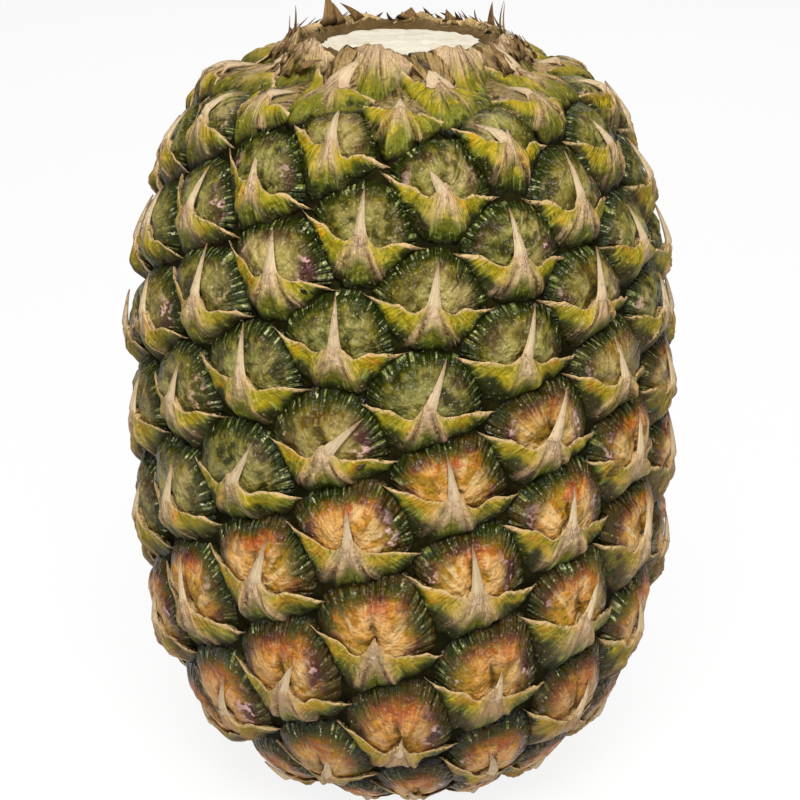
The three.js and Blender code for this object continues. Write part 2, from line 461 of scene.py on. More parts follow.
def lattice_noise(points, seed=0):
    """Smooth noise between -1 and 1 with a wavelength of 1: random values at whole numbers, blended
    by a smooth cubic along each of the three directions."""
    table = np.random.default_rng(seed).random((NOISE_PERIOD,) * 3) * 2 - 1
    whole = np.floor(points).astype(int)
    share = points - whole
    share = share * share * (3 - 2 * share)
    total = 0
    for corner in np.ndindex(2, 2, 2):
        weight = np.prod(np.where(corner, share, 1 - share), axis=-1)
        index = (whole + corner) % NOISE_PERIOD
        total = total + weight * table[index[..., 0], index[..., 1], index[..., 2]]
    return total


def rough(points, wavelength, octaves=3, seed=0):
    """Noise of several wavelengths, each half the one before and half as strong."""
    return sum(lattice_noise(points / wavelength * 2**n, seed + n) / 2**n for n in range(octaves))


def bump(value, middle, spread):
    """A bell curve: one at the middle, falling off over the spread."""
    return np.exp(-(((value - middle) / spread) ** 2))


def ramp(value, low, high):
    """A smooth step from 0 at low to 1 at high."""
    share = np.clip((value - low) / (high - low), 0, 1)
    return share * share * (3 - 2 * share)


def form(across, along, place):
    """A low form on a patch: a bell curve across it times one along it, whose middles and spreads
    are its place."""
    middle_across, spread_across, middle_along, spread_along = place
    return bump(across, middle_across, spread_across) * bump(along, middle_along, spread_along)


# ---------------------------------------------------------------- meshes


def patch_faces(copies, rings, around):
    """Quads of closed patches: each is a stack of rings, and each ring closes on itself."""
    copy, ring, step = np.ogrid[:copies, : rings - 1, :around]
    corner = copy * rings * around
    low, high = corner + ring * around, corner + (ring + 1) * around
    after = (step + 1) % around
    quads = [low + step, low + after, high + after, high + step]
    return np.stack(np.broadcast_arrays(*quads), axis=-1).reshape(-1, 4)


def cap_faces(copies, rings, around, first, poles):
    """Triangles that close each patch's first or last ring on its pole."""
    copy, step = np.ogrid[:copies, :around]
    ring = copy * rings * around + (0 if first else (rings - 1) * around)
    here, after = ring + step, ring + (step + 1) % around
    pole = poles + copy + 0 * step
    corners = [after, here, pole] if first else [here, after, pole]
    return np.stack(np.broadcast_arrays(*corners), axis=-1).reshape(-1, 3)


def layers(*parts):
    """Three values for each point, from arrays of shapes that fit together."""
    return np.stack(np.broadcast_arrays(*parts), axis=-1)


def closed_patches(name, points, attributes, inside_out=False):
    """A mesh of closed patches from points shaped (patch, ring, step round the ring, 3). A pole at
    the middle of each end ring closes the patch."""
    copies, rings, around = points.shape[:3]
    poles = np.concatenate([points[:, 0].mean(1), points[:, -1].mean(1)])
    vertices = np.vstack([points.reshape(-1, 3), poles]) * MM
    first = copies * rings * around
    quads = patch_faces(copies, rings, around)
    caps = np.vstack(
        [
            cap_faces(copies, rings, around, True, first),
            cap_faces(copies, rings, around, False, first + copies),
        ]
    )
    if inside_out:
        quads, caps = quads[:, ::-1], caps[:, ::-1]
    mesh = bpy.data.meshes.new(name)
    mesh.vertices.add(len(vertices))
    mesh.vertices.foreach_set("co", vertices.ravel())
    corners = np.concatenate([quads.ravel(), caps.ravel()])
    totals = np.concatenate([np.full(len(quads), 4), np.full(len(caps), 3)])
    mesh.loops.add(len(corners))
    mesh.loops.foreach_set("vertex_index", corners)
    mesh.polygons.add(len(totals))
    mesh.polygons.foreach_set("loop_start", np.concatenate([[0], np.cumsum(totals)[:-1]]))
    mesh.polygons.foreach_set("use_smooth", np.ones(len(totals), bool))
    mesh.update(calc_edges=True)
    for label, values in attributes.items():
        ends = np.concatenate([values[:, 0].mean(1), values[:, -1].mean(1)])
        data = np.vstack([values.reshape(-1, 3), ends])
        mesh.attributes.new(label, "FLOAT_VECTOR", "POINT").data.foreach_set("vector", data.ravel())
    mesh.validate()
    return mesh


def add_piece(name, mesh, material):
    """Puts a finished mesh in the scene as a piece of the fruit."""
    mesh.materials.append(material)
    piece = bpy.data.objects.new(name, mesh)
    bpy.context.scene.collection.objects.link(piece)
    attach(piece, "root")
    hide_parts("fruit")
    return piece


# ---------------------------------------------------------------- materials


def feed(tree, made, inputs):
    """Sets or links the inputs of a node."""
    for key, value in inputs.items():
        if isinstance(value, bpy.types.NodeSocket):
            tree.links.new(value, made.inputs[key])
        else:
            made.inputs[key].default_value = value


def node(tree, kind, inputs=None, **settings):
    """Adds one node with its settings and links."""
    made = tree.nodes.new(kind)
    for name, value in settings.items():
        setattr(made, name, value)
    feed(tree, made, inputs or {})
    return made


def new_material(name):
    """An empty node material with its shader, and its tree."""
    material = bpy.data.materials.new(name)
    material.use_nodes = True
    tree = material.node_tree
    tree.nodes.clear()
    shader = node(tree, "ShaderNodeBsdfPrincipled")
    node(tree, "ShaderNodeOutputMaterial", {"Surface": shader.outputs[0]})
    return material, tree, shader


def marks_of(tree, name):
    """The three parts of one of the piece's own marks."""
    source = node(tree, "ShaderNodeAttribute", attribute_name=name)
    return node(tree, "ShaderNodeSeparateXYZ", {0: source.outputs["Vector"]}).outputs


def spaced(millimetres):
    """How many blotches of a size there are to a metre, in all three directions."""
    return (1 / (millimetres * MM),) * 3


def pattern(tree, place, stretch, detail=3.0):
    """Noise drawn out over a place: the stretch is how many blotches there are to one unit of each
    of the place's parts."""
    drawn = node(tree, "ShaderNodeVectorMath", {0: place, 1: stretch}, operation="MULTIPLY")
    inputs = {"Vector": drawn.outputs[0], "Scale": 1.0, "Detail": detail, "Roughness": 0.6}
    return node(tree, "ShaderNodeTexNoise", inputs).outputs[0]


def finish(tree, shader, look, height, millimetres):
    """Feeds a shader with its look, and with fine relief of a real depth on its normal."""
    relief = {"Height": height, "Strength": 1.0, "Distance": millimetres * MM}
    normal = node(tree, "ShaderNodeBump", relief).outputs[0]
    feed(tree, shader, {**look, "Normal": normal})


def coats(tree, ground, over_it):
    """Lays coats of colour over a ground. Each coat is its colour, its strength and the fields that
    it follows, whose shares are multiplied. A field is a share alone, or a value with the level
    where the coat starts and the level where it is full."""
    colour = ground
    for coat, strength, *fields in over_it:
        share = strength
        for field in fields:
            if isinstance(field, tuple):
                span = {0: field[0], 1: field[1], 2: field[2]}
                step = node(tree, "ShaderNodeMapRange", span, interpolation_type="SMOOTHSTEP")
                field = step.outputs[0]
            both = node(tree, "ShaderNodeMath", {0: field, 1: share}, operation="MULTIPLY")
            share = both.outputs[0]
        coat = linear(coat) if isinstance(coat, str) else coat
        mixed = node(tree, "ShaderNodeMix", {0: share, 6: colour, 7: coat}, data_type="RGBA")
        colour = mixed.outputs[2]
    return colour


def eye_material(colours):
    """Waxy rind over sepals that grew together. It is leathery, mottled where it has corked, and
    streaked out from the bract, with short pale fibres round a dark green rim: small wet-looking
    highlights on a dark, uneven skin."""
    material, tree, shader = new_material("waxy_eye_rind")
    ripeness, _, height = marks_of(tree, "growth")
    out, crease, blush = marks_of(tree, "eye_marks")
    pale, side, depth = marks_of(tree, "eye_patches")
    place = node(tree, "ShaderNodeTexCoord").outputs["Object"]
    patch = pattern(tree, place, spaced(6.5), 2.0)
    blotch = pattern(tree, place, spaced(2.6), 2.0)
    speck = pattern(tree, place, spaced(0.8), 2.0)
    # Streaks about 2.5 mm wide at the rim and 10 mm long. The fibres are 0.8 mm wide there, which
    # is coarser than real ones, so that they show.
    fan = node(tree, "ShaderNodeAttribute", attribute_name="eye_grain").outputs["Vector"]
    streak = pattern(tree, fan, (4.6, 4.6, 0.9), 1.0)
    fibre = pattern(tree, fan, (16.0, 16.0, 0.8), 0.5)
    middle, off_middle, ring = (out, 0.75, 0.30), (out, 0.10, 0.34), (out, 0.42, 0.64)
    unripe = coats(
        tree,
        colours.eye_green,
        [
            (colours.eye_olive, 0.85, (blotch, 0.42, 0.60), (out, 0.90, 0.50)),
            ("#9b9450", 0.8, (out, 0.60, 0.12), (patch, 0.40, 0.58)),
            ("#a3985a", 0.35, (out, 0.80, 0.45), (patch, 0.46, 0.58), (fibre, 0.50, 0.62)),
            ("#b3a064", 0.9, pale, (streak, 0.36, 0.54)),
            ("#362418", 0.75, (out, 0.30, 0.55), (patch, 0.54, 0.62)),
            ("#2a2705", 0.8, (patch, 0.49, 0.37), (blotch, 0.64, 0.44)),
        ],
    )
    ripe = coats(
        tree,
        colours.eye_gold,
        [
            ("#7d560f", 0.65, (blotch, 0.42, 0.60)),
            ("#86701a", 0.6, (patch, 0.50, 0.40)),
            (colours.eye_tan, 0.9, middle, (patch, 0.43, 0.56)),
            ("#e0bf84", 0.65, middle, off_middle, (streak, 0.48, 0.62)),
            ("#a8400a", 0.85, blush, (blotch, 0.36, 0.54)),
            ("#57300f", 0.7, ring, (streak, 0.42, 0.56)),
            ("#4d1f1a", 0.85, ring, (patch, 0.44, 0.56)),
            ("#4a4a11", 0.7, ring, (patch, 0.50, 0.42)),
            ("#e2c796", 0.3, (out, 0.75, 0.40), (patch, 0.44, 0.58), (fibre, 0.52, 0.64)),
            ("#a4581c", 0.4, (height, 0.32, 0.12), (streak, 0.42, 0.56)),
        ],
    )
    skin = coats(
        tree,
        unripe,
        [
            (ripe, 1.0, ripeness),
            ("#47211f", 1.0, side, (patch, 0.42, 0.54)),
            ("#d4aaa0", 0.9, side, (blotch, 0.56, 0.62)),
            # Pale flecks: painted highlights.
            ("#c3b486", 0.4, (speck, 0.62, 0.70)),
            ("#1f1406", 0.45, (speck, 0.38, 0.30)),
            (colours.rim_green, 0.96, (out, 0.56, 0.78)),
            ("#8b9046", 0.75, (fibre, 0.53, 0.64), (out, 0.66, 0.82), (blotch, 0.42, 0.54)),
            # Whitish specks on the rim's fibres: painted wet glints, a painted highlight.
            ("#d2d0a2", 0.8, (fibre, 0.56, 0.66), (out, 0.62, 0.74), (speck, 0.53, 0.62)),
            ("#4a330b", 0.7, ripeness, (out, 0.60, 0.80), (patch, 0.42, 0.54)),
            ("#a08354", 0.95, (height, 0.949, 0.956), (streak, 0.34, 0.48)),
            ("#4a3622", 0.9, (height, 0.949, 0.956), (streak, 0.46, 0.36)),
            # Painted shade: dark in the crease and the pit.
            ("#1b1106", 0.7, crease),
            # Painted shade: nearly black where the eye goes deep into the groove.
            ("#0d0b01", 1.0, (depth, -2.0, -3.6)),
        ],
    )
    gloss = node(tree, "ShaderNodeMapRange", {0: speck, 1: 0.35, 2: 0.65, 3: 0.20, 4: 0.50})
    at_rim = node(tree, "ShaderNodeMapRange", {0: out, 1: 0.50, 2: 0.85, 3: 0.12, 4: 1.8})
    ribs = {0: fibre, 1: at_rim.outputs[0], 2: patch}
    ribbed = node(tree, "ShaderNodeMath", ribs, operation="MULTIPLY_ADD")
    lumps = {0: blotch, 1: 2.2, 2: ribbed.outputs[0]}
    lumpy = node(tree, "ShaderNodeMath", lumps, operation="MULTIPLY_ADD")
    look = {"Base Color": skin, "Roughness": gloss.outputs[0], "Specular IOR Level": 0.2}
    finish(tree, shader, look, lumpy.outputs[0], 1.0)
    return material


def bract_material(colours):
    """Fleshy scale that dries from its edge. Yellow flesh turns green and then nearly black towards
    the groove, in streaks that fan out from the spine: the near-black is partly painted shade, and
    so are the brown on the flanks and the dark in the cracks, while the black deep in the groove is
    painted shade. Below the spine it has corked to tan and cracked, and its edge is thin paper: a
    satin leaf with dull, fibrous patches."""
    material, tree, shader = new_material("drying_bract")
    ripeness, _, height = marks_of(tree, "growth")
    edge, cork, above_foot = marks_of(tree, "bract_marks")
    crack, wing, depth = marks_of(tree, "bract_cracks")
    between, welt, dryness_and_flank_shade = marks_of(tree, "bract_folds")
    place = node(tree, "ShaderNodeTexCoord").outputs["Object"]
    patch = pattern(tree, place, spaced(6.0), 2.0)
    blotch = pattern(tree, place, spaced(3.0), 2.0)
    speck = pattern(tree, place, spaced(0.8), 2.0)
    # Streaks about 1.5 mm wide and 9 mm long, and hairs about 0.4 mm wide and 5 mm long.
    grain = node(tree, "ShaderNodeAttribute", attribute_name="bract_grain").outputs["Vector"]
    fan = pattern(tree, grain, (5.0, 0.7, 1.0), 2.0)
    hair = pattern(tree, grain, (18.0, 1.3, 1.0), 2.0)
    uneven = {0: fan, 1: 9.0, 2: above_foot}
    wander = node(tree, "ShaderNodeMath", uneven, operation="MULTIPLY_ADD").outputs[0]
    corked = coats(
        tree,
        colours.bract_tan,
        [
            ("#a07a50", 0.5, (fan, 0.54, 0.64)),
            ("#e0c4a0", 0.7, (hair, 0.48, 0.62)),
            ("#5a3b2a", 0.6, (speck, 0.60, 0.67)),
            ("#6b4330", 0.65, (hair, 0.52, 0.61), (blotch, 0.45, 0.55)),
        ],
    )
    flesh = coats(
        tree,
        colours.bract_yellow,
        [
            ("#7d7a0c", 0.75, (fan, 0.42, 0.60)),
            ("#857a1c", 0.7, (patch, 0.50, 0.38)),
            ("#c27c08", 0.8, (patch, 0.52, 0.64), (fan, 0.58, 0.42)),
            ("#a3861a", 0.9, ripeness, (blotch, 0.34, 0.52)),
            ("#b88220", 0.75, ripeness, (patch, 0.50, 0.62), (fan, 0.60, 0.44)),
            ("#6c6a10", 0.7, ripeness, (patch, 0.48, 0.38)),
            ("#d6bc4a", 0.5, (hair, 0.53, 0.66)),
            ("#c4a414", 0.5, (height, 0.84, 0.94), (fan, 0.62, 0.46)),
            (colours.bract_green, 1.0, (wander, 11.8, 7.0)),
            (colours.bract_green, 0.85, (wing, 0.62, 0.90)),
            ("#48500f", 0.8, between, (blotch, 0.36, 0.50)),
            ("#8d9a4c", 0.75, (hair, 0.53, 0.64), (above_foot, 6.5, 3.5)),
            # Nearly black at the foot: partly the bract's own dark green, partly painted shade
            # where it dips into the groove.
            ("#232504", 0.95, (wander, 9.4, 6.2)),
            ("#8f8a2a", 0.4, (height, 0.92, 0.965), (blotch, 0.36, 0.52)),
            # Brown on the flanks: partly real drying, partly painted shade on the sides that turn
            # away from the front.
            ("#57411f", 0.95, dryness_and_flank_shade, (blotch, 0.34, 0.48)),
            ("#8f5c1e", 0.6, (height, 0.30, 0.10), (fan, 0.44, 0.58)),
            (corked, 1.0, cork),
            ("#a8743a", 0.5, cork, (height, 0.42, 0.16)),
            ("#cfa680", 0.85, welt, (hair, 0.42, 0.56)),
            # Dark in the cracks: partly the cracked cork's own brown, partly painted shade.
            ("#3b1a14", 1.0, crack, (speck, 0.36, 0.48)),
            ("#cbaa78", 1.0, edge, (speck, 0.30, 0.44)),
            ("#d6c28a", 0.35, (speck, 0.63, 0.70)),
            ("#291b0a", 0.45, (speck, 0.37, 0.30)),
            # Painted shade: nearly black where the bract goes deep into the groove.
            ("#0d0b01", 1.0, (depth, -1.9, -3.6)),
        ],
    )
    gloss = node(tree, "ShaderNodeMapRange", {0: blotch, 1: 0.3, 2: 0.7, 3: 0.32, 4: 0.60})
    fibrous = node(tree, "ShaderNodeMath", {0: hair, 1: 0.4, 2: fan}, operation="MULTIPLY_ADD")
    lumps = {0: blotch, 1: 1.4, 2: fibrous.outputs[0]}
    lumpy = node(tree, "ShaderNodeMath", lumps, operation="MULTIPLY_ADD")
    look = {"Base Color": flesh, "Roughness": gloss.outputs[0], "Specular IOR Level": 0.12}
    finish(tree, shader, look, lumpy.outputs[0], 1.3)
    return material


def spine_material(colours):
    """Dry woody spine: cream with fine lengthwise fibres, and darker at its foot and tip. Matt."""
    material, tree, shader = new_material("dry_spine")
    along, _, _ = marks_of(tree, "blade_place")
    # Fibres about 0.15 mm wide and half as long as the spine.
    blade = node(tree, "ShaderNodeAttribute", attribute_name="blade_place").outputs["Vector"]
    fibre = pattern(tree, blade, (2.0, 14.0, 1.0))
    place = node(tree, "ShaderNodeTexCoord").outputs["Object"]
    speck = pattern(tree, place, spaced(1.5))
    colour = coats(
        tree,
        colours.spine_cream,
        [
            ("#b39068", 0.7, (fibre, 0.46, 0.66)),
            ("#8d6848", 0.6, (speck, 0.56, 0.70)),
            ("#9a6a45", 0.8, (along, 0.70, 1.0)),
            ("#c9a582", 0.8, (along, 0.36, 0.12)),
        ],
    )
    look = {"Base Color": colour, "Roughness": 0.62, "Specular IOR Level": 0.2}
    finish(tree, shader, look, fibre, 0.25)
    return material


def groove_shade_material():
    """Young rind deep between the fruitlets, damp and barely lit: its dark green is painted nearly
    black, as shade.
    """
    material, tree, shader = new_material("groove_shade_rind")
    place = node(tree, "ShaderNodeTexCoord").outputs["Object"]
    blotch = pattern(tree, place, spaced(3.0))
    # Painted shade: near-black, with faint darker blotches.
    colour = coats(tree, linear("#151303"), [("#211e05", 1.0, (blotch, 0.45, 0.6))])
    feed(tree, shader, {"Base Color": colour, "Roughness": 0.8, "Specular IOR Level": 0.05})
    return material


def dry_leaf_material(colours):
    """Torn, dried leaf base: papery tan and brown with lengthwise fibres, darkest at the root.
    Matt."""
    material, tree, shader = new_material("dried_leaf_base")
    along, _, _ = marks_of(tree, "blade_place")
    # Fibres about 0.15 mm wide and two thirds as long as the leaf base.
    blade = node(tree, "ShaderNodeAttribute", attribute_name="blade_place").outputs["Vector"]
    fibre = pattern(tree, blade, (1.5, 12.0, 1.0))
    place = node(tree, "ShaderNodeTexCoord").outputs["Object"]
    blotch = pattern(tree, place, spaced(3.0))
    colour = coats(
        tree,
        linear("#ae8a5b"),
        [
            (colours.dry_brown, 0.8, (fibre, 0.45, 0.62)),
            ("#5a3d26", 0.7, (blotch, 0.52, 0.64)),
            ("#c4a578", 0.75, (blotch, 0.45, 0.35)),
            ("#54411f", 0.85, (along, 0.35, 0.10)),
        ],
    )
    look = {"Base Color": colour, "Roughness": 0.75, "Specular IOR Level": 0.15}
    finish(tree, shader, look, fibre, 0.4)
    return material


def cut_face_material(colours):
    """Cut core, dried to cream: pale fibre ends with faint tan blotches. Matt."""
    material, tree, shader = new_material("dried_cut_core")
    place = node(tree, "ShaderNodeTexCoord").outputs["Object"]
    blotch = pattern(tree, place, spaced(5.0))
    speck = pattern(tree, place, spaced(0.7), 2.0)
    colour = coats(
        tree,
        colours.scar_cream,
        [("#c4b494", 0.5, (blotch, 0.5, 0.7)), ("#9c8b68", 0.35, (speck, 0.62, 0.75))],
    )
    look = {"Base Color": colour, "Roughness": 0.8, "Specular IOR Level": 0.2}
    finish(tree, shader, look, speck, 0.3)
    return material


def light_table_material():
    """Opal acrylic of a light table, cast and sanded: it glows evenly, so the floor stays nearly
    white and takes only a faint shadow. Matt."""
    material, tree, shader = new_material("light_table")
    look = {
        "Base Color": linear("#5c5c5b"),
        "Roughness": 0.9,
        "Emission Color": linear("#ffffff"),
        "Emission Strength": 0.88,
    }
    feed(tree, shader, look)
    return material


# ---------------------------------------------------------------- pieces


def eye_patches(fruitlets, sizes, rings=20, around=44):
    """Domes that fill the upper part of their cells, on a grid of the share of the way out and the
    turn. The height falls from the middle to the groove with a power of that share. Two lobes, a
    crease between them that forks at its top and a pit above the bract are laid over it as bell
    curves, and wrinkles over all."""
    draw = fruitlets.draw
    out = 1 - (1 - np.linspace(0.03, 1, rings)[None, :, None]) ** 1.3
    turn = full_turn(around) - np.pi / 2
    oval = (sizes.eye_half_width / MM, EYE_UP, EYE_DOWN)
    reach = fruitlets.reach(EYE_MIDDLE, turn, oval)[:, None, :]
    wave = 1 + 0.015 * np.sin(3 * turn + 6 * per(draw[:, 2]))
    wave = wave + 0.01 * np.sin(5 * turn + 9 * per(draw[:, 3]))
    across = reach * wave * np.cos(turn) * out
    along = EYE_MIDDLE + reach * wave * np.sin(turn) * out

    top = -0.1 + 0.5 * per(draw[:, 4] - 0.5)
    shift = 0.8 * per(draw[:, 5] - 0.5)
    inner = (1 - out**2) * (1 + RIPE_SWELLING * per(fruitlets.ripeness))
    crease = form(across - shift - 0.4 * np.sin(along), along, CREASE)
    pit = form(across - shift, along, PIT)
    lobes = form(np.abs(across - shift), along, LOBES)
    fork = bump(along - 0.55 * np.abs(across), 6.5, 0.8) * ramp(np.abs(across), 0.3, 2.0)
    wrinkles = rough(layers(across, along, 37.0 * per(draw[:, 6])), WRINKLE_PITCH, seed=3)
    height = top - sizes.eye_rise / MM * out**DOME_POWER
    forms = LOBE_RISE * lobes - CREASE_DEPTH * crease - PIT_DEPTH * pit - FORK_DEPTH * fork
    height = height + inner * forms + WRINKLE_RISE * wrinkles * (1 - 0.6 * out**4)
    height = np.minimum(height, top + TALLEST_FORM)
    points = fruitlets.at(across, along, height)

    pale_half = ramp(per(np.sign(draw[:, 8] - 0.35)) * across, 0.2, 2.5) * bump(along, 5.0, 5.0)
    far_side = ramp(np.abs(across + 1.2), 5.6, 8.4) * bump(along, 2.4, 4.5)
    fan = np.arctan2(across, along + 2.0)
    away = np.hypot(across, along + 2.0)
    return points, {
        "growth": fruitlets.growth(points.shape[:3]),
        # The second part is the crease and the pit, which the material paints dark as shade.
        "eye_marks": layers(
            out, np.clip(0.8 * crease * inner + 0.6 * pit, 0, 1), form(across, along, BLUSH)
        ),
        "eye_patches": layers(
            per(draw[:, 9]) * pale_half,
            ramp(per(draw[:, 10]), 0.2, 0.6) * far_side,
            # The dome's height, which the material paints nearly black deep in the groove, as
            # shade.
            height + 0 * across,
        ),
        "eye_grain": layers(np.cos(fan), np.sin(fan), away / 9 + 5 * per(draw[:, 7])),
    }


def bract_patches(fruitlets, sizes, stations=44, outer=18):
    """Scales that close round their own section, on a grid of the share of the way across, from one
    corner of the cell to the other, and the place round the section. The front falls from the
    papery edge to the cell's lower side with a power of the share of the way down, and the back
    goes straight in under the edge. A ridge, a crack with two legs, a welt and a hollow beside each
    leg, and ribs that fan out from the spine are laid over the front."""
    draw = fruitlets.draw
    topmost = ramp(fruitlets.row, LAST_ROW - 1, LAST_ROW)[:, None]
    side = np.linspace(-1, 1, stations)[None, :]
    side = side * np.abs(side) ** 0.25
    wing = (side[0] > 0).astype(int)
    (left, left_along), (right, right_along) = fruitlets.tips(sizes.wing_reach / MM)
    tip = np.stack([-left, right], axis=1)[:, wing]
    tip_along = (np.stack([left_along, right_along], axis=1) + 1.5 * draw[:, 1:3])[:, wing]
    dip = draw[:, 4:6][:, wing]

    across = side * tip * (1.0 + 0.05 * draw[:, 0, None] + 0.3 * topmost)
    share = np.abs(side) + 0 * across
    low = fruitlets.sides(side * tip)[0] - 2.2 * topmost
    low = low + 1.5 * bump(share, 0.8, 0.16) * (1 - topmost)
    ragged = rough(layers(across, 0 * across, 31.0 * draw[:, 3, None]), RAGGED_PITCH, seed=5)
    edge = (
        (tip_along - 1.0) * share**1.5
        - (0.5 + 1.4 * dip) * bump(np.abs(across), 4.2, 2.4)
        + 1.9 * bump(across, 0, 1.7)
        + RAGGED_DEPTH * ragged * (1 - share**6)
    )
    fall = np.maximum(edge - low, 0.5) * np.minimum(1, 7 * (1 - share))
    section = (across, share, edge, fall, ragged)
    across, share, edge, fall, ragged = (part[:, :, None] for part in section)

    topmost = per(topmost[:, 0])
    edge_height = EDGE_HEIGHT + TOP_EDGE_RAISED * topmost - WING_DROP * share**1.6
    down = (np.linspace(0, 1, outer) ** 1.1)[None, None, :]
    flank = ramp(np.abs(across), 2.5, 6.5) * (1 - topmost)
    along = edge - fall * down
    below = edge - along
    bulge = BULGE * np.sin(np.pi * np.clip(down / 0.8, 0, 1)) * (1 - share**2)
    ridge = RIDGE_RISE * bump(across, 0, 1.5 + 1.5 * down) * (1 - ramp(down, 0.1, 0.6))
    spread = 0.7 + (0.3 + 0.4 * per(draw[:, 10])) * below
    leg = np.abs(across - 0.8 * per(draw[:, 9] - 0.5)) - spread
    cracked = ramp(per(draw[:, 6]), 0.05, 0.45)
    crack = form(leg, below, CRACK) * cracked
    welt = form(leg, below, WELT)
    hollow = form(leg, below, HOLLOW)
    fan = np.arctan2(across, 4.5 - along)
    away = np.hypot(across, 4.5 - along)
    ribs = lattice_noise(layers(fan * 9, away / 7, 23.0 * per(draw[:, 7])), seed=7)
    lumps = rough(layers(across, along, 19.0 * per(draw[:, 7])), 4.0, 2, seed=8)
    front = (
        edge_height
        + bulge
        + ridge
        - CRACK_DEPTH * crack
        + WELT_RISE * welt
        - HOLLOW_DEPTH * hollow
        - (edge_height + FRONT_DEPTH) * down ** (MIDDLE_FALL + (FLANK_FALL - MIDDLE_FALL) * flank)
        + (RIB_RISE * ribs + LUMP_RISE * lumps) * ramp(down, 0.03, 0.2) * (1 - share**4)
    )
    behind = np.array([FAR, 1.7, 0.5, 0.1])
    papery_back = behind < 1
    thickness = sizes.bract_thickness / MM * np.array([0, 0, 1.0, 0.35])
    back_along = edge - np.minimum(behind, fall)
    back = np.where(papery_back, edge_height - thickness, -BACK_DEPTH)
    points = fruitlets.at(
        across, np.concatenate([along, back_along], axis=2), np.concatenate([front, back], axis=2)
    )

    papery = 0.05 + per(0.1 + 1.1 * draw[:, 8]) * (
        0.6 * np.maximum(ragged, 0) + 0.5 * ramp(share, 0.3, 0.9)
    )
    ripeness = fruitlets.ripeness
    last_rows = ramp(fruitlets.row, LAST_ROW - 1, LAST_ROW + 1)
    corked = 0.6 + 0.45 * draw[:, 11] + 0.25 * ripeness + last_rows
    flare = bump(across, 0, (1.9 + 0.32 * below) * per(corked)) * (1 - ramp(below, 3.0, 8.0))
    arc = per(fruitlets.arc) + along * per(fruitlets.length / CELL_LENGTH)
    torn = ramp(arc + 2.0 * ribs, ARC[-1] - 6.5, ARC[-1])
    # Browner on the flanks, a quarter turn from -Y: partly real drying, partly painted shade on the
    # sides that turn away from the front.
    from_side = np.abs(np.arctan2(np.sin(fruitlets.angle), np.cos(fruitlets.angle)))
    dried = bump(from_side, 1.5, 0.6) * (0.65 + 0.35 * ramp(ripeness, 0.0, 0.4))
    dried = dried * (0.55 + 0.45 * draw[:, 13])
    above_foot = fall * (1 - down)
    held = np.minimum(above_foot, 11.0 + 3.0 * per(draw[:, 12] - 0.5) - 1.5 * below)
    marks = layers(
        1 - ramp(below, papery, papery + PAPER_END),
        np.maximum(flare, 0.9 * torn),
        (1 - flank) * above_foot + flank * held,
    )
    shape = (*marks.shape[:2], len(behind), 3)
    back_marks = np.broadcast_to(layers(1.0 * papery_back, 0 * behind, 3.0 * papery_back), shape)
    plain = np.zeros(shape)
    between = ramp(-leg, 0.0, 0.8) * ramp(below, 3.5, 6.0)
    grain = layers(fan, away / 6, 13.0 * per(draw[:, 7]))
    back_grain = np.repeat(grain[:, :, :1], len(behind), axis=2)
    # The cracks carry the front's height, which the material paints nearly black deep in the groove
    # as shade; the folds carry the flanks' drying, which is partly painted shade.
    cracks, folds = layers(crack, share, front), layers(between, welt * cracked, per(dried))
    return points, {
        "growth": fruitlets.growth(points.shape[:3]),
        "bract_marks": np.concatenate([marks, back_marks], axis=2),
        "bract_cracks": np.concatenate([cracks, plain], axis=2),
        "bract_folds": np.concatenate([folds, plain], axis=2),
        "bract_grain": np.concatenate([grain, back_grain], axis=2),
    }


def blades(
    angle,
    arc,
    lift,
    length,
    width,
    thickness,
    rise,
    lean,
    curl,
    growth,
    flare=0.5,
    sink=0.0,
    blunt=1.0,
    straight=0.1,
    hug=0.0,
    rings=18,
    around=12,
):
    """Pointed blades that lie along the skin: a keeled oval section whose width falls off towards
    the tip, carried along a path that leans to one side, curls, and lifts away from the skin.

    Each starts at an angle, an arc length and a lift off the skin. The flare widens its foot, the
    sink sets its foot into the skin, a higher blunt keeps it wide for longer, straight is the share
    of its length before it leans in full, and hug bends its tip back to the skin."""
    share = np.linspace(0, 1, rings)[None, :, None]
    turn = full_turn(around)[None]
    taper = (1 - share**blunt) ** 0.9 * (1 + flare * np.exp(-5.5 * share)) + 0.02
    side = per(width) / 2 * taper * np.cos(turn)
    keel = bump(np.cos(turn), 0, 0.45) * (np.sin(turn) > 0) * (1 - share)
    oval = (0.25 + 0.75 * (1 - share)) * np.sin(turn) / 2
    deep = per(thickness) * (oval + 0.55 * keel)

    bend = (per(lean) + per(curl) * share) * ramp(share, -0.02, straight)
    step = per(length) / (rings - 1)
    across = np.cumsum(step * np.sin(bend), axis=1) + side * np.cos(bend)
    along = np.cumsum(step * np.cos(bend), axis=1) - side * np.sin(bend)
    out = per(lift) + per(rise) * share**1.4 - hug * share**2 + deep
    out = out - sink * (1 - ramp(share, 0, 0.30))
    base = np.interp(np.clip(per(arc) + along, 0, ARC[-1]), ARC, RADIUS)
    points = on_skin(per(angle) + across / np.maximum(base, 8.0), per(arc) + along, out)
    flat = 0 * across
    return points, {
        "growth": np.broadcast_to(growth[:, None, None, :], points.shape),
        "blade_place": layers(share + flat, np.cos(turn) + flat, 29.0 * per(growth[:, 1]) + flat),
    }


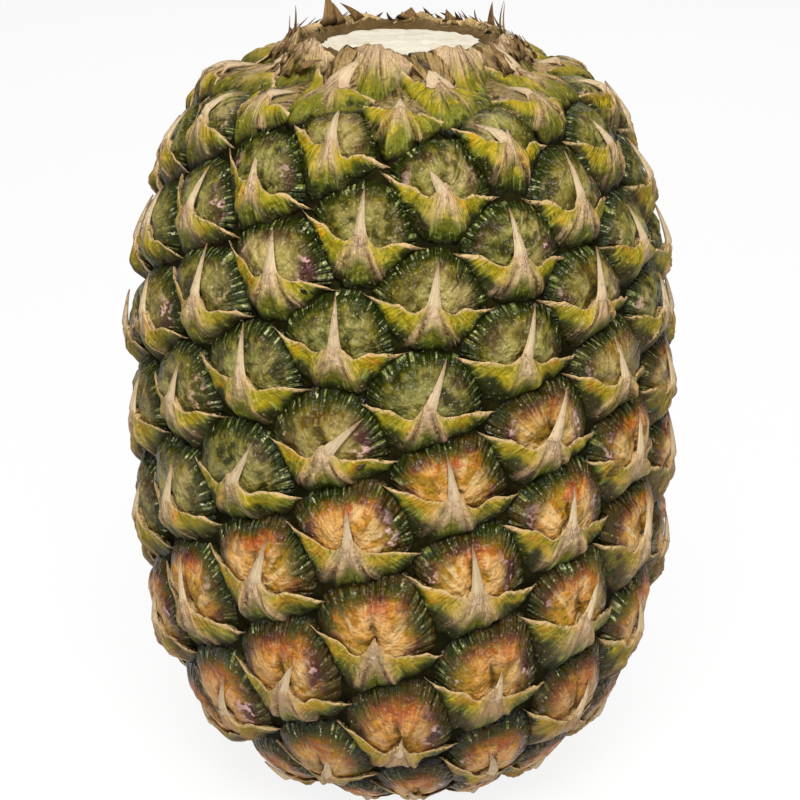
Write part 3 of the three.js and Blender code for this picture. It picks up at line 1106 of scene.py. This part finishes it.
def cut_disc(radius, level, wall_radius, wall_level, dome, uneven, seed, rings, around):
    """A cut face with a short wall at its edge: rings from the middle out, lifted by a bell curve
    and by noise, and one last ring at the wall's radius and level."""
    radii = np.concatenate([np.linspace(0.6, radius, rings), [wall_radius]])[:, None]
    turn = full_turn(around)
    flat = around_axis(turn, radii, level)
    heights = level + uneven * rough(flat, 2.5, seed=seed) + dome * bump(radii, 0, 9)
    heights[-1] = wall_level
    return around_axis(turn, radii, heights)[None]


class PINEAPPLE_OT_core(bpy.types.Operator):
    """Makes the skin at the bottom of the grooves, painted nearly black as shade"""

    bl_idname = "pineapple.core"
    bl_label = "Groove Skin"

    def execute(self, context):
        depth = context.scene.pineapple_sizes.groove_depth / MM
        arc = np.linspace(0, ARC[-1] - 2, 70)[:, None]
        turn = full_turn(128)
        size = np.clip(np.interp(arc, ARC, RADIUS) / GIRTH_RADIUS, LEAST_SIZE, 1)
        points = on_skin(turn, arc, -depth * size)
        points = points + 0.4 * rough(points, 3.0, 2, seed=9)[..., None] * [1, 1, 0]
        foot = around_axis(turn, STALK_RADIUS, 0.8)
        points = np.concatenate([foot, points])[None]
        mesh = closed_patches("groove_shade_skin", points, {})
        add_piece("groove_shade_skin", mesh, groove_shade_material())
        return {"FINISHED"}


class PINEAPPLE_OT_eyes(bpy.types.Operator):
    """Makes the eyes, the domed upper part of each fruitlet"""

    bl_idname = "pineapple.eyes"
    bl_label = "Eyes"

    def execute(self, context):
        material = eye_material(context.scene.pineapple_colours)
        halves = (("eyes_lower", FIRST_ROW, 0), ("eyes_upper", 1, LAST_ROW))
        for name, first, last in halves:
            points, marks = eye_patches(Fruitlets(first, last), context.scene.pineapple_sizes)
            add_piece(name, closed_patches(name, points, marks), material)
        return {"FINISHED"}


class PINEAPPLE_OT_bracts(bpy.types.Operator):
    """Makes the bracts, the winged scale under each eye"""

    bl_idname = "pineapple.bracts"
    bl_label = "Bracts"

    def execute(self, context):
        material = bract_material(context.scene.pineapple_colours)
        halves = (("bracts_lower", FIRST_ROW, 0), ("bracts_upper", 1, LAST_ROW + 1))
        for name, first, last in halves:
            points, marks = bract_patches(Fruitlets(first, last), context.scene.pineapple_sizes)
            add_piece(name, closed_patches(name, points, marks), material)
        return {"FINISHED"}


class PINEAPPLE_OT_spines(bpy.types.Operator):
    """Makes the dry spine on the edge of each bract"""

    bl_idname = "pineapple.spines"
    bl_label = "Spines"

    def execute(self, context):
        sizes = context.scene.pineapple_sizes
        fruitlets = Fruitlets(FIRST_ROW, LAST_ROW)
        draw, size = fruitlets.draw, fruitlets.size
        grown = list(zip(fruitlets.row.tolist(), fruitlets.spiral.tolist()))
        whole = np.array([BROKEN.get(place, 1.0) for place in grown])
        lean = [LEANS.get(place, 40 * chance - 20) for place, chance in zip(grown, draw[:, 11])]
        curl = (1.0 - 0.6 * np.array([place in LEANS for place in grown])) * (draw[:, 12] - 0.5)
        rooted = 3.5  # this much of each spine lies on the bract below its edge
        length = sizes.spine_length / MM * whole + rooted
        width = sizes.spine_width / MM * (0.9 + 0.25 * draw[:, 9])
        points, marks = blades(
            angle=fruitlets.angle,
            arc=fruitlets.arc - rooted * size,
            lift=1.2 * size,
            length=length * (0.82 + 0.32 * draw[:, 8]) * size**0.5,
            width=width * size**0.5 * (1 + 1.5 * (fruitlets.row == LAST_ROW)),
            thickness=1.3 + 0 * size,
            rise=1.8 * draw[:, 10] ** 4,
            lean=np.radians(lean) - curl / 2,
            curl=curl,
            growth=fruitlets.growth((len(size), 1, 1))[:, 0, 0],
            flare=0.8,
            sink=2.0,
            straight=0.4,
            hug=1.7,
        )
        mesh = closed_patches("spines", points, marks)
        add_piece("spines", mesh, spine_material(context.scene.pineapple_colours))
        return {"FINISHED"}


class PINEAPPLE_OT_neck(bpy.types.Operator):
    """Makes the dry strips on the neck, the torn stubs and the ring round the scar"""

    bl_idname = "pineapple.neck"
    bl_label = "Neck Leaves"

    def execute(self, context):
        material = dry_leaf_material(context.scene.pineapple_colours)
        for name, shape in (
            ("neck_strips", self.strips()),
            ("torn_stubs", self.stubs()),
            ("scar_ring", self.ring()),
        ):
            add_piece(name, closed_patches(name, *shape), material)
        return {"FINISHED"}

    @staticmethod
    def strips():
        """Thin dry strips that lie this way and that on the neck, all round but for its front."""
        count, front = 90, 0.85
        draw = np.random.default_rng(SEED + 1).random((count, 9))
        start = ARC[-1] - 9.5 + 6.0 * draw[:, 0]
        turn = (np.arange(count) + 0.7 * draw[:, 1]) * (2 * np.pi - 2 * front) / count
        return blades(
            angle=front + turn,
            arc=start,
            lift=0.9 + 1.2 * draw[:, 2],
            length=np.minimum(4.0 + 5.0 * draw[:, 3], ARC[-1] + 0.6 - start),
            width=0.8 + 2.0 * draw[:, 4] ** 2,
            thickness=0.4 + 0 * start,
            rise=0.2 + 1.0 * draw[:, 5] ** 3,
            lean=1.5 * (draw[:, 6] - 0.5),
            curl=1.8 * (draw[:, 7] - 0.5),
            growth=np.stack([0 * start, draw[:, 8], 0 * start + 1], axis=-1),
            flare=0.3,
            sink=0.8,
            blunt=1.5,
            rings=14,
            around=8,
        )

    @staticmethod
    def stubs():
        """Torn stubs that stand up from the scar's ring, each with its own place and shape."""
        degrees, below, length, width, lean, curl, rise = np.array(TORN_STUBS, float).T
        return blades(
            angle=np.radians(degrees),
            arc=ARC[-1] + 1.0 - below,
            lift=-0.4 + 0 * below,
            length=length,
            width=width,
            thickness=0.6 + 0 * below,
            rise=rise,
            lean=np.radians(lean),
            curl=np.radians(curl),
            growth=np.stack([0 * degrees, degrees / 360, 0 * degrees + 1], axis=-1),
            flare=0.2,
            blunt=1.25,
            rings=16,
            around=10,
        )

    @staticmethod
    def ring():
        """The uneven brown ring that is left of the crown's lowest leaves: a section turned round
        the axis, moved in and out by noise, and up and down by noise near its crest."""
        turn = full_turn(360)
        section = np.array(RING_SECTION)
        radius, level = section[:, :1], section[:, 1:]
        plain = around_axis(turn, radius, level)
        ragged = rough(plain, 1.6, seed=21)
        coarse = rough(plain * [1, 1, 0.2], 6.0, 2, seed=25)
        crest = bump(radius, RING_CREST, 1.6)
        torn = crest * (0.9 * ragged + coarse - 0.3)
        points = around_axis(turn, radius + 0.7 * ragged + 0.5 * coarse, level + torn)
        return points[None], {
            "growth": np.full((1, *points.shape[:2], 3), 0.5),
            "blade_place": layers((level - 169) / 5, 9 * turn, ragged)[None],
        }


class PINEAPPLE_OT_crown_scar(bpy.types.Operator):
    """Makes the cut face that the crown left"""

    bl_idname = "pineapple.crown_scar"
    bl_label = "Crown Scar"

    def execute(self, context):
        points = cut_disc(
            radius=SCAR_RADIUS + 1.4,
            level=SCAR_HEIGHT,
            wall_radius=SCAR_RADIUS + 1.2,
            wall_level=SCAR_HEIGHT - 2.0,
            dome=0.7,
            uneven=0.35,
            seed=31,
            rings=30,
            around=96,
        )
        mesh = closed_patches("crown_scar", points, {}, inside_out=True)
        material = cut_face_material(context.scene.pineapple_colours)
        add_piece("crown_scar", mesh, material)
        return {"FINISHED"}


class PINEAPPLE_OT_stalk_end(bpy.types.Operator):
    """Makes the cut stalk under the fruit"""

    bl_idname = "pineapple.stalk_end"
    bl_label = "Stalk End"

    def execute(self, context):
        points = cut_disc(
            radius=STALK_RADIUS,
            level=0.0,
            wall_radius=STALK_RADIUS - 0.4,
            wall_level=2.5,
            dome=0.0,
            uneven=0.25,
            seed=41,
            rings=26,
            around=80,
        )
        mesh = closed_patches("stalk_end", points, {})
        material = cut_face_material(context.scene.pineapple_colours)
        add_piece("stalk_end", mesh, material)
        return {"FINISHED"}


class PINEAPPLE_OT_stage(bpy.types.Operator):
    """Makes the floor, the lights and the camera"""

    bl_idname = "pineapple.stage"
    bl_label = "Stage"

    def execute(self, context):
        scene, stage = context.scene, context.scene.pineapple_stage
        middle = np.array([0.0, 0.0, GIRTH_HEIGHT * MM])
        self.lay_floor(scene)
        lights = (
            ("key_light", (0.0, -0.74, 1.0), 0.6, stage.key_power),
            ("right_light", (0.85, -0.45, 0.45), 0.7, stage.fill_power),
            ("left_light", (-0.9, 0.1, 0.4), 0.7, stage.fill_power),
            ("back_light", (0.1, 0.9, 0.75), 0.8, BACK_LIGHT_SHARE * stage.fill_power),
        )
        for name, place, size, power in lights:
            light = bpy.data.lights.new(name, "AREA")
            light.size = size
            light.energy = power
            lamp = bpy.data.objects.new(name, light)
            lamp.matrix_world = self.facing(np.array(place), middle)
            scene.collection.objects.link(lamp)
        scene.world = self.studio_world()
        scene.view_settings.view_transform = "Standard"
        camera = bpy.data.cameras.new("camera")
        camera.lens = stage.lens
        camera.shift_x, camera.shift_y = CAMERA_SHIFT
        holder = bpy.data.objects.new("camera", camera)
        rise = stage.camera_elevation
        offset = stage.camera_distance * np.array([0.0, -math.cos(rise), math.sin(rise)])
        holder.matrix_world = self.facing(middle + offset, middle)
        scene.collection.objects.link(holder)
        scene.camera = holder
        return {"FINISHED"}

    @staticmethod
    def lay_floor(scene):
        """A plain square floor that the fruit stands on."""
        half = FLOOR_HALF
        corners = [(-half, -half, 0), (half, -half, 0), (half, half, 0), (-half, half, 0)]
        mesh = bpy.data.meshes.new("floor")
        mesh.from_pydata(corners, [], [(0, 1, 2, 3)])
        mesh.materials.append(light_table_material())
        floor = bpy.data.objects.new("floor", mesh)
        scene.collection.objects.link(floor)

    @staticmethod
    def studio_world():
        """White studio walls: they are seen nearly white and give only a little light."""
        world = bpy.data.worlds.new("soft_studio")
        world.use_nodes = True
        tree = world.node_tree
        rays = node(tree, "ShaderNodeLightPath").outputs["Is Camera Ray"]
        strength = node(tree, "ShaderNodeMapRange", {0: rays, 3: WORLD_LIGHT, 4: WORLD_SEEN})
        feed(tree, tree.nodes["Background"], {0: linear("#ffffff"), 1: strength.outputs[0]})
        return world

    @staticmethod
    def facing(place, target):
        """A placement at a point whose -Z looks at the target and whose Y is up."""
        back = (place - target) / np.linalg.norm(place - target)
        right = np.cross([0.0, 0.0, 1.0], back)
        right /= np.linalg.norm(right)
        matrix = np.eye(4)
        matrix[:3, :3] = np.column_stack([right, np.cross(back, right), back])
        matrix[:3, 3] = place
        return Matrix(matrix)


class PINEAPPLE_PT_panel(bpy.types.Panel):
    """Lists the pieces of the pineapple and their sizes and colours"""

    bl_label = "Pineapple"
    bl_space_type = "VIEW_3D"
    bl_region_type = "UI"
    bl_category = "Pineapple"

    def draw(self, context):
        for operator in OPERATORS:
            self.layout.operator(operator.bl_idname)
        scene = context.scene
        for group in (scene.pineapple_sizes, scene.pineapple_colours, scene.pineapple_stage):
            for name in group.bl_rna.properties.keys():
                if name not in ("name", "rna_type"):
                    self.layout.prop(group, name)


GROUPS = (PineappleSizes, PineappleColours, PineappleStage)
OPERATORS = (
    PINEAPPLE_OT_core,
    PINEAPPLE_OT_eyes,
    PINEAPPLE_OT_bracts,
    PINEAPPLE_OT_spines,
    PINEAPPLE_OT_neck,
    PINEAPPLE_OT_crown_scar,
    PINEAPPLE_OT_stalk_end,
    PINEAPPLE_OT_stage,
)


def register():
    for item in (*GROUPS, *OPERATORS, PINEAPPLE_PT_panel):
        bpy.utils.register_class(item)
    bpy.types.Scene.pineapple_sizes = bpy.props.PointerProperty(type=PineappleSizes)
    bpy.types.Scene.pineapple_colours = bpy.props.PointerProperty(type=PineappleColours)
    bpy.types.Scene.pineapple_stage = bpy.props.PointerProperty(type=PineappleStage)


def unregister():
    del bpy.types.Scene.pineapple_stage
    del bpy.types.Scene.pineapple_colours
    del bpy.types.Scene.pineapple_sizes
    for item in reversed((*GROUPS, *OPERATORS, PINEAPPLE_PT_panel)):
        bpy.utils.unregister_class(item)


def main():
    register()
    bpy.ops.pineapple.core()
    bpy.ops.pineapple.eyes()
    bpy.ops.pineapple.bracts()
    bpy.ops.pineapple.spines()
    bpy.ops.pineapple.neck()
    bpy.ops.pineapple.crown_scar()
    bpy.ops.pineapple.stalk_end()
    bpy.ops.pineapple.stage()


if __name__ == "__main__":
    main()
